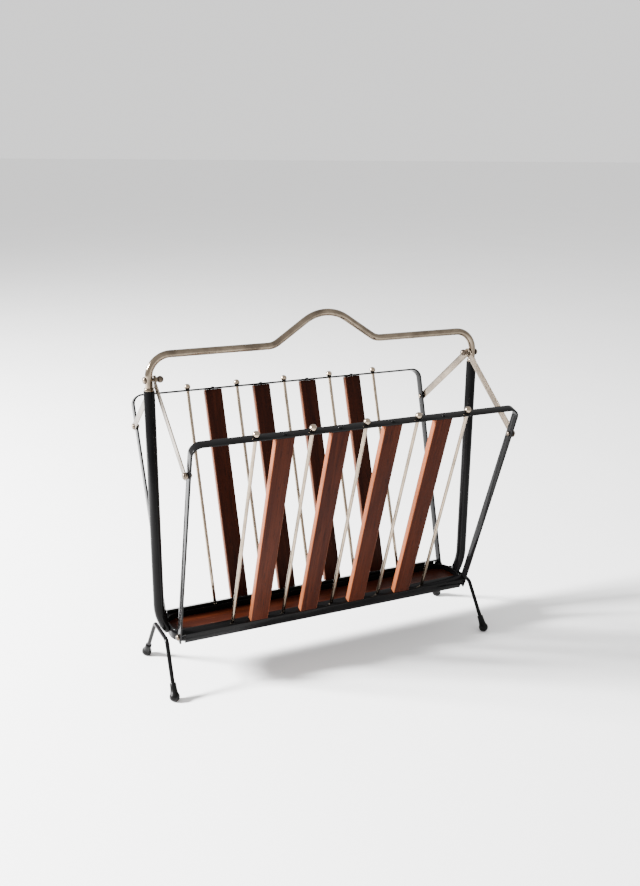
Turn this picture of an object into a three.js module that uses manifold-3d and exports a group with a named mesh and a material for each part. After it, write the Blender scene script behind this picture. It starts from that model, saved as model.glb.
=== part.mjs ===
// Folding magazine rack: a slatted wing on each side of a narrow tray, lifted by one handle.
// Millimetres, +Z up, X along the length, -Y is the front, the feet stand on Z = 0.

import * as THREE from "three";
import { mergeVertices } from "three/addons/utils/BufferGeometryUtils.js";
import Module from "manifold-3d";

const wasm = await Module();
wasm.setup();

// ---------- driving dimensions ----------

const GAP = 0.3; // kept between pieces that touch

// end posts and the telescoping handle
const POST_X = 200;
const POST_RADIUS = 6;
const POST_TOP = 336.4;
const POST_BEND_RADIUS = 54;
const POST_BEND_ANGLE = 36;
const POST_BEND_START = 90.5;
const BORE_RADIUS = 4.6;
const BORE_BOTTOM = 238;
const COLLAR_HEIGHT = 3;
const COLLAR_RADIUS = 5.2;
const COLLAR_BORE = 4.45;
const TUBE_RADIUS = 4;
const TUBE_WALL = 1;
const TUBE_BOTTOM = 246;
const SHOULDER_Z = 374.2;
const SHOULDER_RADIUS = 24;
const GRIP_X = 4; // the raised grip sits a little off centre
const GRIP_HALF = 63;
const GRIP_CORNER_Z = 416.6;
const GRIP_FOOT_RADIUS = 22;
const GRIP_TOP_RADIUS = 45;

// tray
const TRAY_HALF_LENGTH = 190;
const TRAY_HALF_WIDTH = 26;
const TRAY_CORNER = 20;
const TRAY_WALL = 2;
const TRAY_BOTTOM = 51.5;
const TRAY_TOP = 64.5;
const FLOOR_BOTTOM = 53.6;
const FLOOR_TOP = 58.2;
const FLOOR_CLEARANCE = 0.4;
const STRAP_X = 110;
const STRAP_WIDTH = 16;
const STRAP_THICKNESS = 1.5;

// feet
const WIRE_RADIUS = 2.4;
const WIRE_X = 199;
const WIRE_KNEE_Y = 23;
const WIRE_KNEE_Z = 57;
const WIRE_KNEE_RADIUS = 9;
const FOOT_X = 202;
const FOOT_Y = 56.8;
const FOOT_BALL_RADIUS = 5.8;
const FOOT_BALL_Z = 5.2;
const FOOT_CAP_LENGTH = 15;
const FOOT_CAP_WALL = 1.2;
const FOOT_CAP_WAIST = 7.5; // where the ball has run out into the neck

// wings: u points out of the wing, t runs up it from the hinge pin
const HINGE_Y = 28.1;
const HINGE_Z = 60.1;
const WING_TILT = 18.5;
const BAR_DEPTH = 10;
const BAR_THICKNESS = 2;
const BAR_BOTTOM_T = -6;
const BAR_TOP_T = 259.9;
const BAR_HALF_WIDTH_LOW = 186.7;
const BAR_HALF_WIDTH_TOP = 192.2;
const BAR_CORNER = 11;
const RAIL_TOP_T = 7.3;
const RAIL_BOTTOM_T = -5.4;
const RAIL_HALF_LENGTH = 184.4;
const RAIL_FRONT_HALF_LENGTH = 180.6;
const SLAT_WIDTH = 21;
const SLAT_FRONT_U = 4.8;
const SLAT_BACK_U = -3.2;
const PITCH = 62; // from one rod to the next, with a slat halfway
const ROD_COUNT = 5;
const ROD_RADIUS = 2;
const ROD_BOTTOM_T = 4.1;
const ROD_HOLE_RADIUS = 2.35;
const BALL_RADIUS = 3.8;
const BALL_T = 263.3;

// hinge pins and lugs
const PIN_RADIUS = 1.6;
const PIN_HOLE_RADIUS = 2;
const PIN_HEAD_RADIUS = 3.6;
const PIN_HEAD_HEIGHT = 2.6;
const PIN_TAIL_RADIUS = 2.5;
const PIN_TAIL_HEIGHT = 1.2;
const LUG_INNER_X = 181.2;
const LUG_THICKNESS = 3;
const LUG_RADIUS = 4.6;

// links from the handle to the wings
const PIVOT_Z = 348;
const LINK_HALF_WIDTH = 4.6;
const LINK_THICKNESS = 1.2;
const LINK_STANDOFF = 0.8; // from the handle tube to the nearest link
const RIVET_T = 223.5;
const RIVET_RADIUS = 1.5;
const RIVET_HEAD_RADIUS = 3.5;
const RIVET_HEAD_HEIGHT = 1.9;
const RIVET_NUB_RADIUS = 2.7;
const RIVET_NUB_HEIGHT = 1.8;
const SPACER_MIN_ROOM = 2; // less than this between link and side bar needs no spacer
const SLOT_HALF_WIDTH = 2.3;
const SLOT_LENGTH = 5;
const SLOT_OFFSET = 0.5;
const BOLT_RADIUS = 1.8;
const BOLT_HOLE_RADIUS = 2.2;
const BOLT_HEAD_HEIGHT = 2.5;
const BOLT_REACH = 4; // into the dome nut, past the back link
const NUT_RADIUS = 3.8;
const NUT_NECK = 0.6;
const NUT_BORE_DEPTH = 4.3;

// shape of every low domed head, as shares of its radius and height
const DOME_SHOULDER = 0.75;
const DOME_EDGE = 0.3;

// ---------- finishes ----------

const BLACK = { color: 0x1c1c1f, roughness: 0.35, metalness: 0.3 };
const PLATED = { color: 0xb09c80, roughness: 0.25, metalness: 1 };
const WOOD = { color: 0x6b3a2d, roughness: 0.5, metalness: 0 };
const RUBBER = { color: 0x141414, roughness: 0.7, metalness: 0 };

// ---------- helpers ----------

const AXIS_X = new THREE.Vector3(1, 0, 0);
const AXIS_Y = new THREE.Vector3(0, 1, 0);
const AXIS_Z = new THREE.Vector3(0, 0, 1);

const radians = THREE.MathUtils.degToRad;

const SIDES = [
  { name: "left", sign: -1 },
  { name: "right", sign: 1 },
];

const rack = new THREE.Group();

// Adds a named piece to a group.
function addPiece(parent, name, geometry, finish) {
  const mesh = new THREE.Mesh(geometry, new THREE.MeshStandardMaterial(finish));
  mesh.name = name;
  parent.add(mesh);
  return mesh;
}

// Keeps positions only, merges shared corners and turns the faces outwards.
function closed(geometry) {
  const bare = geometry.clone();
  bare.deleteAttribute("normal");
  bare.deleteAttribute("uv");
  const merged = mergeVertices(bare, 1e-4);
  const kept = [];
  let volume = 0;
  const corners = [new THREE.Vector3(), new THREE.Vector3(), new THREE.Vector3()];
  for (let i = 0; i < merged.index.count; i += 3) {
    const ids = [0, 1, 2].map((k) => merged.index.getX(i + k));
    if (new Set(ids).size < 3) continue;
    kept.push(...ids);
    ids.forEach((id, k) => corners[k].fromBufferAttribute(merged.attributes.position, id));
    volume += corners[0].dot(corners[1].clone().cross(corners[2]));
  }
  if (volume < 0) kept.reverse();
  merged.setIndex(kept);
  return merged;
}

function toSolid(geometry) {
  const mesh = closed(geometry);
  return new wasm.Manifold(new wasm.Mesh({
    numProp: 3,
    vertProperties: new Float32Array(mesh.attributes.position.array),
    triVerts: new Uint32Array(mesh.index.array),
  }));
}

function toGeometry(solid) {
  const mesh = solid.getMesh();
  const geometry = new THREE.BufferGeometry();
  const places = new Float32Array(mesh.vertProperties);
  geometry.setAttribute("position", new THREE.BufferAttribute(places, 3));
  geometry.setIndex(Array.from(mesh.triVerts));
  return geometry;
}

// Cuts every tool away from a body.
function cut(body, tools) {
  let solid = toSolid(body);
  for (const tool of tools) {
    solid = solid.subtract(toSolid(tool));
  }
  return toGeometry(solid);
}

// A path of straight runs and rounded corners, stepped only where it bends.
class BentPath extends THREE.Curve {
  constructor(corners, stepAngle) {
    super();
    this.knots = [corners[0].at];
    for (let i = 1; i < corners.length - 1; i += 1) {
      this.knots.push(...BentPath.arc(corners[i - 1].at, corners[i], corners[i + 1].at, stepAngle));
    }
    this.knots.push(corners[corners.length - 1].at);
  }

  static arc(before, corner, after, stepAngle) {
    const arrive = corner.at.clone().sub(before).normalize();
    const leave = after.clone().sub(corner.at).normalize();
    const turn = arrive.angleTo(leave);
    const run = corner.radius * Math.tan(turn / 2);
    const start = corner.at.clone().addScaledVector(arrive, -run);
    const inward = leave.clone().addScaledVector(arrive, -Math.cos(turn)).normalize();
    const steps = Math.ceil(turn / radians(stepAngle));
    const points = [];
    for (let k = 0; k <= steps; k += 1) {
      const angle = (turn * k) / steps;
      points.push(start.clone()
        .addScaledVector(arrive, corner.radius * Math.sin(angle))
        .addScaledVector(inward, corner.radius * (1 - Math.cos(angle))));
    }
    return points;
  }

  get steps() {
    return this.knots.length - 1;
  }

  getPointAt(u) {
    return this.knots[Math.round(u * this.steps)].clone();
  }

  getTangentAt(u) {
    const i = Math.round(u * this.steps);
    const tangent = new THREE.Vector3();
    if (i > 0) tangent.add(this.knots[i].clone().sub(this.knots[i - 1]).normalize());
    if (i < this.steps) tangent.add(this.knots[i + 1].clone().sub(this.knots[i]).normalize());
    return tangent.normalize();
  }
}

function at(x, y, z, radius = 0) {
  return { at: new THREE.Vector3(x, y, z), radius };
}

function regularOutline(radius, sides) {
  const points = [];
  for (let i = 0; i < sides; i += 1) {
    const angle = (2 * Math.PI * i) / sides;
    points.push(new THREE.Vector2(radius * Math.cos(angle), radius * Math.sin(angle)));
  }
  return points;
}

function sweep(section, corners, stepAngle = 15) {
  const path = new BentPath(corners, stepAngle);
  return new THREE.ExtrudeGeometry(section, { steps: path.steps, extrudePath: path });
}

// A turned piece: pairs of radius and height, standing on its axis along +Z.
function turned(profile, segments = 12) {
  const points = profile.map(([radius, height]) => new THREE.Vector2(radius, height));
  const geometry = new THREE.LatheGeometry(points, segments);
  geometry.rotateX(Math.PI / 2);
  return closed(geometry);
}

// Profile points of a ball, from one angle of latitude to another.
function ballProfile(radius, height, from, to, steps) {
  const points = [];
  for (let i = 0; i <= steps; i += 1) {
    const angle = radians(from + ((to - from) * i) / steps);
    points.push([radius * Math.cos(angle), height + radius * Math.sin(angle)]);
  }
  return points;
}

// Profile points of a low domed head, from its tip back to its flat face.
function domeProfile(radius, face, height) {
  return [
    [0, face + height],
    [radius * DOME_SHOULDER, face + height * DOME_SHOULDER],
    [radius, face + height * DOME_EDGE],
    [radius, face],
  ];
}

// Turns a piece that stands along +Z so that it points along +X or -X.
function alongX(geometry, sign) {
  return geometry.rotateY((sign * Math.PI) / 2);
}

function rodCutter(radius, length, segments = 16) {
  return new THREE.CylinderGeometry(radius, radius, length, segments);
}

// A cylinder along X, for holes through the side bars, links and lugs.
function holeAlongX(radius, x, y, z, length = 30) {
  return rodCutter(radius, length).rotateZ(Math.PI / 2).translate(x, y, z);
}

function box(x, y, z, width, depth, height) {
  return new THREE.BoxGeometry(width, depth, height).translate(x, y, z);
}

// Extrudes an outline drawn in the YZ plane along X, centred on x = 0.
function extrudeAlongX(points, length) {
  const shape = new THREE.Shape(points.map(([y, z]) => new THREE.Vector2(y, z)));
  const geometry = new THREE.ExtrudeGeometry(shape, { depth: length, bevelEnabled: false });
  geometry.translate(0, 0, -length / 2);
  return geometry.applyMatrix4(new THREE.Matrix4().makeBasis(AXIS_Y, AXIS_Z, AXIS_X));
}

// Rounded outline of the tray, pulled in by an inset.
function trayOutline(inset, PathType = THREE.Shape) {
  const length = TRAY_HALF_LENGTH - inset;
  const width = TRAY_HALF_WIDTH - inset;
  const radius = TRAY_CORNER - inset;
  const outline = new PathType();
  outline.moveTo(length, -width + radius);
  outline.absarc(length - radius, width - radius, radius, 0, Math.PI / 2);
  outline.absarc(-length + radius, width - radius, radius, Math.PI / 2, Math.PI);
  outline.absarc(-length + radius, -width + radius, radius, Math.PI, 1.5 * Math.PI);
  outline.absarc(length - radius, -width + radius, radius, 1.5 * Math.PI, 2 * Math.PI);
  return outline;
}

function trayPrism(outline, bottom, top) {
  const options = { depth: top - bottom, bevelEnabled: false, curveSegments: 6 };
  return new THREE.ExtrudeGeometry(outline, options).translate(0, 0, bottom);
}

// ---------- posts, collars and handle ----------

function postGeometry(sign) {
  const run = POST_BEND_RADIUS * Math.tan(radians(POST_BEND_ANGLE / 2));
  const cornerZ = POST_BEND_START - run;
  const endX = sign * (POST_X - run * Math.sin(radians(POST_BEND_ANGLE)));
  const endZ = cornerZ - run * Math.cos(radians(POST_BEND_ANGLE));
  const tube = sweep(new THREE.Shape(regularOutline(POST_RADIUS, 20)), [
    at(sign * POST_X, 0, POST_TOP),
    at(sign * POST_X, 0, cornerZ, POST_BEND_RADIUS),
    at(endX, 0, endZ),
  ], 6);
  const boreLength = POST_TOP - BORE_BOTTOM + GAP;
  const bore = rodCutter(BORE_RADIUS, boreLength, 20)
    .rotateX(Math.PI / 2)
    .translate(sign * POST_X, 0, BORE_BOTTOM + boreLength / 2);
  const inside = 2 * TRAY_CORNER;
  const cutX = sign * (TRAY_HALF_LENGTH + GAP - inside / 2);
  const trayEnd = box(cutX, 0, BORE_BOTTOM / 2, inside, inside, BORE_BOTTOM);
  return cut(tube, [bore, trayEnd]);
}

function collarGeometry() {
  const edge = 0.3;
  return turned([
    [COLLAR_BORE, 0],
    [COLLAR_RADIUS - edge, 0],
    [COLLAR_RADIUS, edge],
    [COLLAR_RADIUS, COLLAR_HEIGHT - edge],
    [COLLAR_RADIUS - edge, COLLAR_HEIGHT],
    [COLLAR_BORE, COLLAR_HEIGHT],
    [COLLAR_BORE, 0],
  ], 20);
}

function handleGeometry() {
  const section = new THREE.Shape(regularOutline(TUBE_RADIUS, 16));
  section.holes.push(new THREE.Path(regularOutline(TUBE_RADIUS - TUBE_WALL, 6)));
  const tube = sweep(section, [
    at(-POST_X, 0, TUBE_BOTTOM),
    at(-POST_X, 0, SHOULDER_Z, SHOULDER_RADIUS),
    at(GRIP_X - GRIP_HALF, 0, SHOULDER_Z, GRIP_FOOT_RADIUS),
    at(GRIP_X, 0, GRIP_CORNER_Z, GRIP_TOP_RADIUS),
    at(GRIP_X + GRIP_HALF, 0, SHOULDER_Z, GRIP_FOOT_RADIUS),
    at(POST_X, 0, SHOULDER_Z, SHOULDER_RADIUS),
    at(POST_X, 0, TUBE_BOTTOM),
  ]);
  return cut(tube, SIDES.map(({ sign }) => holeAlongX(BOLT_HOLE_RADIUS, sign * POST_X, 0, PIVOT_Z)));
}

for (const { name, sign } of SIDES) {
  addPiece(rack, `${name}_post`, postGeometry(sign), BLACK);
  const collar = addPiece(rack, `${name}_collar`, collarGeometry(), PLATED);
  collar.position.set(sign * POST_X, 0, POST_TOP + GAP);
}
addPiece(rack, "handle", handleGeometry(), PLATED);

// ---------- tray ----------

function trayBandGeometry() {
  const outline = trayOutline(0);
  outline.holes.push(trayOutline(TRAY_WALL, THREE.Path));
  return trayPrism(outline, TRAY_BOTTOM, TRAY_TOP);
}

addPiece(rack, "tray_band", trayBandGeometry(), BLACK);
const floorOutline = trayOutline(TRAY_WALL + FLOOR_CLEARANCE);
addPiece(rack, "tray_floor", trayPrism(floorOutline, FLOOR_BOTTOM, FLOOR_TOP), WOOD);
for (const { name, sign } of SIDES) {
  const span = 2 * (TRAY_HALF_WIDTH - TRAY_WALL - GAP);
  const z = FLOOR_BOTTOM - GAP - STRAP_THICKNESS / 2;
  const strap = box(sign * STRAP_X, 0, z, STRAP_WIDTH, span, STRAP_THICKNESS);
  addPiece(rack, `${name}_floor_strap`, strap, BLACK);
}

// ---------- feet ----------

const KNEE = new THREE.Vector3(WIRE_X, WIRE_KNEE_Y, WIRE_KNEE_Z);
const FOOT = new THREE.Vector3(FOOT_X, FOOT_Y, FOOT_BALL_Z);
const LEG = KNEE.clone().sub(FOOT).normalize();

// The cap's ball stands on a small flat that is cut level with the ground.
function footCapGeometry(signX, signY) {
  const neckRadius = WIRE_RADIUS + FOOT_CAP_WALL;
  const boreRadius = WIRE_RADIUS + GAP;
  const boreStart = -1;
  const cap = turned([
    ...ballProfile(FOOT_BALL_RADIUS, 0, -90, 35, 7),
    [neckRadius + FOOT_CAP_WALL / 2, FOOT_CAP_WAIST],
    [neckRadius, FOOT_CAP_LENGTH],
    [boreRadius, FOOT_CAP_LENGTH],
    [boreRadius, boreStart],
    [0, boreStart],
  ], 14);
  const up = new THREE.Vector3(signX * LEG.x, signY * LEG.y, LEG.z);
  cap.applyQuaternion(new THREE.Quaternion().setFromUnitVectors(AXIS_Z, up));
  cap.translate(signX * FOOT_X, signY * FOOT_Y, FOOT_BALL_Z);
  const below = 2 * FOOT_BALL_RADIUS;
  return cut(cap, [box(signX * FOOT_X, signY * FOOT_Y, -below / 2, 2 * below, 2 * below, below)]);
}

for (const { name, sign } of SIDES) {
  const wireEnd = FOOT.clone().addScaledVector(LEG, GAP);
  const wire = sweep(new THREE.Shape(regularOutline(WIRE_RADIUS, 12)), [
    at(sign * wireEnd.x, -wireEnd.y, wireEnd.z),
    at(sign * KNEE.x, -KNEE.y, KNEE.z, WIRE_KNEE_RADIUS),
    at(sign * KNEE.x, KNEE.y, KNEE.z, WIRE_KNEE_RADIUS),
    at(sign * wireEnd.x, wireEnd.y, wireEnd.z),
  ]);
  addPiece(rack, `${name}_foot_wire`, wire, BLACK);
  addPiece(rack, `${name}_front_foot_cap`, footCapGeometry(sign, -1), RUBBER);
  addPiece(rack, `${name}_back_foot_cap`, footCapGeometry(sign, 1), RUBBER);
}

// ---------- wings ----------

// Half width of the wing frame at a height t, to the outer face of its side bar.
function barOuterX(t) {
  return BAR_HALF_WIDTH_LOW + ((BAR_HALF_WIDTH_TOP - BAR_HALF_WIDTH_LOW) * t) / BAR_TOP_T;
}

// The inverted U: flat bar bent the easy way, its wide faces square to the wing.
function wingFrameGeometry() {
  const half = BAR_THICKNESS / 2;
  const section = new THREE.Shape([
    new THREE.Vector2(-BAR_DEPTH / 2, -half),
    new THREE.Vector2(BAR_DEPTH / 2, -half),
    new THREE.Vector2(BAR_DEPTH / 2, half),
    new THREE.Vector2(-BAR_DEPTH / 2, half),
  ]);
  const lowX = barOuterX(BAR_BOTTOM_T) - half;
  const topX = BAR_HALF_WIDTH_TOP - half;
  const bar = sweep(section, [
    at(-lowX, 0, BAR_BOTTOM_T),
    at(-topX, 0, BAR_TOP_T - half, BAR_CORNER),
    at(topX, 0, BAR_TOP_T - half, BAR_CORNER),
    at(lowX, 0, BAR_BOTTOM_T),
  ], 15);
  const holes = SIDES.flatMap(({ sign }) => [
    holeAlongX(PIN_HOLE_RADIUS, sign * barOuterX(0), 0, 0),
    holeAlongX(PIN_HOLE_RADIUS, sign * barOuterX(RIVET_T), 0, RIVET_T),
  ]);
  return cut(bar, [...holes, ...rodHoles(BAR_TOP_T)]);
}

// Clearance holes for the rods, through a bar near height t.
function rodHoles(t) {
  return rodPlaces().map((x) => (
    rodCutter(ROD_HOLE_RADIUS, BAR_DEPTH, 12).rotateX(Math.PI / 2).translate(x, 0, t)
  ));
}

function rodPlaces() {
  return Array.from({ length: ROD_COUNT }, (_, i) => (i - (ROD_COUNT - 1) / 2) * PITCH);
}

// The bottom rail: an angle whose top flange carries the slats and rods.
function railGeometry(outward) {
  const inner = -BAR_DEPTH / 2;
  const outer = BAR_DEPTH / 2;
  const profile = [
    [inner, RAIL_TOP_T],
    [inner, RAIL_TOP_T - BAR_THICKNESS],
    [outer - BAR_THICKNESS, RAIL_TOP_T - BAR_THICKNESS],
    [outer - BAR_THICKNESS, RAIL_BOTTOM_T],
    [outer, RAIL_BOTTOM_T],
    [outer, RAIL_TOP_T],
  ].map(([u, t]) => [outward * u, t]);
  const notch = 2 * (RAIL_HALF_LENGTH - RAIL_FRONT_HALF_LENGTH);
  const height = RAIL_TOP_T - BAR_THICKNESS - RAIL_BOTTOM_T + 1;
  const z = RAIL_TOP_T - BAR_THICKNESS - height / 2;
  const endCuts = SIDES.map(({ sign }) => (
    box(sign * (RAIL_FRONT_HALF_LENGTH + notch / 2), 0, z, notch, 2 * BAR_DEPTH, height)
  ));
  return cut(extrudeAlongX(profile, 2 * RAIL_HALF_LENGTH), [...endCuts, ...rodHoles(RAIL_TOP_T)]);
}

function rodGeometry() {
  return turned([
    [0, ROD_BOTTOM_T],
    [ROD_RADIUS, ROD_BOTTOM_T],
    ...ballProfile(BALL_RADIUS, BALL_T, -58, 90, 6),
  ]);
}

// A rivet that holds a link to a side bar: nub inside, dome outside, along the side's own X.
function rivetGeometry(sign, innerX, outerX) {
  return alongX(turned([
    ...domeProfile(RIVET_NUB_RADIUS, innerX, -RIVET_NUB_HEIGHT),
    [RIVET_RADIUS, innerX],
    [RIVET_RADIUS, outerX],
    ...domeProfile(RIVET_HEAD_RADIUS, outerX, RIVET_HEAD_HEIGHT).reverse(),
  ]), sign);
}

// The front links lie next to the handle tube, the back links one thickness further in.
const LINK_PLANES = {
  front: POST_X - TUBE_RADIUS - LINK_STANDOFF - LINK_THICKNESS / 2,
  back: POST_X - TUBE_RADIUS - LINK_STANDOFF - GAP - 1.5 * LINK_THICKNESS,
};

const WINGS = [
  { name: "front", outward: -1 },
  { name: "back", outward: 1 },
];

for (const { name: wing, outward } of WINGS) {
  const group = new THREE.Group();
  group.position.set(0, outward * HINGE_Y, HINGE_Z);
  group.rotation.x = -outward * radians(WING_TILT);
  rack.add(group);

  addPiece(group, `${wing}_wing_frame`, wingFrameGeometry(), BLACK);
  addPiece(group, `${wing}_wing_rail`, railGeometry(outward), BLACK);

  rodPlaces().forEach((x, i) => {
    const rod = addPiece(group, `${wing}_rod_${i + 1}`, rodGeometry(), PLATED);
    rod.position.x = x;
  });

  const bottom = RAIL_TOP_T + GAP;
  const length = BAR_TOP_T - BAR_THICKNESS - GAP - bottom;
  for (let i = 0; i < ROD_COUNT - 1; i += 1) {
    const slat = addPiece(group, `${wing}_slat_${i + 1}`,
      new THREE.BoxGeometry(SLAT_WIDTH, SLAT_FRONT_U - SLAT_BACK_U, length), WOOD);
    slat.position.set((i - (ROD_COUNT - 2) / 2) * PITCH,
      (outward * (SLAT_FRONT_U + SLAT_BACK_U)) / 2, bottom + length / 2);
  }

  for (const { name, sign } of SIDES) {
    const barOuter = barOuterX(RIVET_T);
    const linkOuter = LINK_PLANES[wing] + LINK_THICKNESS / 2;
    const rivet = rivetGeometry(sign, barOuter - BAR_THICKNESS - 2 * GAP, linkOuter + GAP);
    addPiece(group, `${wing}_${name}_link_rivet`, rivet, PLATED).position.z = RIVET_T;
    const room = LINK_PLANES[wing] - LINK_THICKNESS / 2 - barOuter;
    if (room > SPACER_MIN_ROOM) {
      const washer = turned([
        [PIN_HOLE_RADIUS, barOuter + 1.5 * GAP],
        [RIVET_HEAD_RADIUS, barOuter + 1.5 * GAP],
        [RIVET_HEAD_RADIUS, barOuter + room - GAP],
        [PIN_HOLE_RADIUS, barOuter + room - GAP],
        [PIN_HOLE_RADIUS, barOuter + 1.5 * GAP],
      ]);
      addPiece(group, `${wing}_${name}_spacer`, alongX(washer, sign), PLATED).position.z = RIVET_T;
    }
  }
}

// ---------- hinge lugs and pins ----------

function lugGeometry(sign, outward) {
  const x = sign * (LUG_INNER_X + LUG_THICKNESS / 2);
  const eye = rodCutter(LUG_RADIUS, LUG_THICKNESS, 24)
    .rotateZ(Math.PI / 2)
    .translate(x, outward * HINGE_Y, HINGE_Z);
  const reach = TRAY_HALF_WIDTH / 2;
  const arm = box(x, outward * (HINGE_Y - reach / 2), HINGE_Z, LUG_THICKNESS, reach, 2 * LUG_RADIUS);
  const tray = trayPrism(trayOutline(-GAP), 0, 2 * TRAY_TOP);
  const whole = toGeometry(toSolid(eye).add(toSolid(arm)));
  return cut(whole, [tray, holeAlongX(PIN_HOLE_RADIUS, x, outward * HINGE_Y, HINGE_Z)]);
}

function hingePinGeometry(sign) {
  const tail = LUG_INNER_X - GAP;
  const head = BAR_HALF_WIDTH_LOW + 2 * GAP;
  return alongX(turned([
    ...domeProfile(PIN_TAIL_RADIUS, tail, -PIN_TAIL_HEIGHT),
    [PIN_RADIUS, tail],
    [PIN_RADIUS, head],
    ...domeProfile(PIN_HEAD_RADIUS, head, PIN_HEAD_HEIGHT).reverse(),
  ]), sign);
}

for (const { name: wing, outward } of WINGS) {
  for (const { name, sign } of SIDES) {
    addPiece(rack, `${wing}_${name}_hinge_lug`, lugGeometry(sign, outward), BLACK);
    const pin = addPiece(rack, `${wing}_${name}_hinge_pin`, hingePinGeometry(sign), PLATED);
    pin.position.set(0, outward * HINGE_Y, HINGE_Z);
  }
}

// ---------- links, pivot bolts and nuts ----------

const TILT = radians(WING_TILT);
const RIVET_Y = HINGE_Y + RIVET_T * Math.sin(TILT);
const RIVET_Z = HINGE_Z + RIVET_T * Math.cos(TILT);
const LINK_LENGTH = Math.hypot(RIVET_Y, PIVOT_Z - RIVET_Z);
const LINK_ANGLE = Math.atan2(RIVET_Y, PIVOT_Z - RIVET_Z);

// A flat strip with round ends, drawn hanging straight down from its pivot eye.
// Its lower eye is a slot that runs back along the strip, to give the rivet room.
function linkGeometry(outward) {
  const outline = new THREE.Shape();
  outline.absarc(0, 0, LINK_HALF_WIDTH, 0, Math.PI);
  outline.absarc(0, -LINK_LENGTH, LINK_HALF_WIDTH, Math.PI, 2 * Math.PI);
  const eye = new THREE.Path(regularOutline(BOLT_HOLE_RADIUS, 16));
  const slot = new THREE.Path();
  const middle = outward * SLOT_OFFSET;
  slot.absarc(middle, -LINK_LENGTH + SLOT_LENGTH, SLOT_HALF_WIDTH, 0, Math.PI);
  slot.absarc(middle, -LINK_LENGTH, SLOT_HALF_WIDTH, Math.PI, 2 * Math.PI);
  outline.holes.push(eye, slot);
  const options = { depth: LINK_THICKNESS, bevelEnabled: false, curveSegments: 6 };
  const strip = new THREE.ExtrudeGeometry(outline, options).translate(0, 0, -LINK_THICKNESS / 2);
  return strip.applyMatrix4(new THREE.Matrix4().makeBasis(AXIS_Y, AXIS_Z, AXIS_X));
}

for (const { name: wing, outward } of WINGS) {
  for (const { name, sign } of SIDES) {
    const link = addPiece(rack, `${wing}_${name}_link`, linkGeometry(outward), PLATED);
    link.position.set(sign * LINK_PLANES[wing], 0, PIVOT_Z);
    link.rotation.x = outward * LINK_ANGLE;
  }
}

function pivotBoltGeometry(sign) {
  const head = POST_X + TUBE_RADIUS + GAP;
  const tip = LINK_PLANES.back - LINK_THICKNESS / 2 - BOLT_REACH;
  return alongX(turned([
    [0, tip],
    [BOLT_RADIUS, tip],
    [BOLT_RADIUS, head],
    ...domeProfile(NUT_RADIUS, head, BOLT_HEAD_HEIGHT).reverse(),
  ]), sign);
}

// The dome nut: a ball with a short flat collar, and a blind hole for the bolt.
function pivotNutGeometry(sign) {
  const face = LINK_PLANES.back - LINK_THICKNESS / 2 - GAP;
  const centre = face - NUT_RADIUS - NUT_NECK;
  return alongX(turned([
    ...ballProfile(NUT_RADIUS, centre, -90, 55, 6),
    [NUT_RADIUS * 0.75, face],
    [BOLT_HOLE_RADIUS, face],
    [BOLT_HOLE_RADIUS, face - NUT_BORE_DEPTH],
    [0, face - NUT_BORE_DEPTH],
  ], 12), sign);
}

for (const { name, sign } of SIDES) {
  addPiece(rack, `${name}_pivot_bolt`, pivotBoltGeometry(sign), PLATED).position.z = PIVOT_Z;
  addPiece(rack, `${name}_pivot_nut`, pivotNutGeometry(sign), PLATED).position.z = PIVOT_Z;
}

export default rack;
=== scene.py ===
# %% [markdown]
# # A folding magazine rack
# The rack has two wings that hinge on a narrow tray. Each wing is a black flat-bar frame
# filled with wooden slats and plated rods. A plated handle slides in two black posts and
# draws the wings together through four flat links.
# The CAD model is loaded first: it fixes where every piece is and how it moves.

# %% Load the frame
import math

import bpy
from mathutils import Matrix, Vector


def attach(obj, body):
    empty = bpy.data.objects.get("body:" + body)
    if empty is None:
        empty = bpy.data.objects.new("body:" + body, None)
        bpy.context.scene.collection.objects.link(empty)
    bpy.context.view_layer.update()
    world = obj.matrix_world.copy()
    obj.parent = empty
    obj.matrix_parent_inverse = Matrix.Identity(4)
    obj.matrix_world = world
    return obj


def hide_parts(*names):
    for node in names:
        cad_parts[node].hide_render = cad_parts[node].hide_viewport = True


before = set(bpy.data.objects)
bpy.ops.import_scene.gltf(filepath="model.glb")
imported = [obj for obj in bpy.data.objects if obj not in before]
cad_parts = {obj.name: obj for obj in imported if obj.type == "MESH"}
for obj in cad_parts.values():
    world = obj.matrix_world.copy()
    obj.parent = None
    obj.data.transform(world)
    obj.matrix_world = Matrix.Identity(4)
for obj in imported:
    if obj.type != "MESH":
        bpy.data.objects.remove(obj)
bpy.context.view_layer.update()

# %% [markdown]
# ## Measures
# Blender works in metres, and a rack is easier to think about in millimetres, so every
# measure is given in millimetres and turned to metres where it is used. Measures that only
# one piece needs stand in that piece's own cell.
# A wing has its own height, t, measured up the wing from its hinge pin, and its own depth,
# u, measured out of the wing. Pieces of a wing are drawn upright and then tilted together.

# %% Measures that several pieces share
MM = 0.001
SIDES = {"left": -1, "right": 1}
WINGS = {"front": -1, "back": 1}
HINGE_Y, HINGE_Z, WING_TILT = 28.1, 60.1, 18.5
PITCH, SLAT_WIDTH, ROD_COUNT = 62.0, 21.0, 5
GAP = 0.3
EXACT = 0.0000001

rod_places = [(i - (ROD_COUNT - 1) / 2) * PITCH for i in range(ROD_COUNT)]
slat_places = [(i - (ROD_COUNT - 2) / 2) * PITCH for i in range(ROD_COUNT - 1)]
print("rods at", rod_places, "and slats at", slat_places)

# %% [markdown]
# ## Working as by hand
# Operators act on whatever is selected, so each piece starts from a clean selection and
# ends in object mode. These helpers are the few hand movements that every piece repeats:
# start a mesh, pick vertices by their place, close a piece, and put it where it belongs.

# %% Helpers for selection and finishing
def millimetres(*values):
    return Vector(values) * MM


def clear_selection():
    if bpy.context.object and bpy.context.object.mode != "OBJECT":
        bpy.ops.object.mode_set(mode="OBJECT")
    bpy.ops.object.select_all(action="DESELECT")


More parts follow.
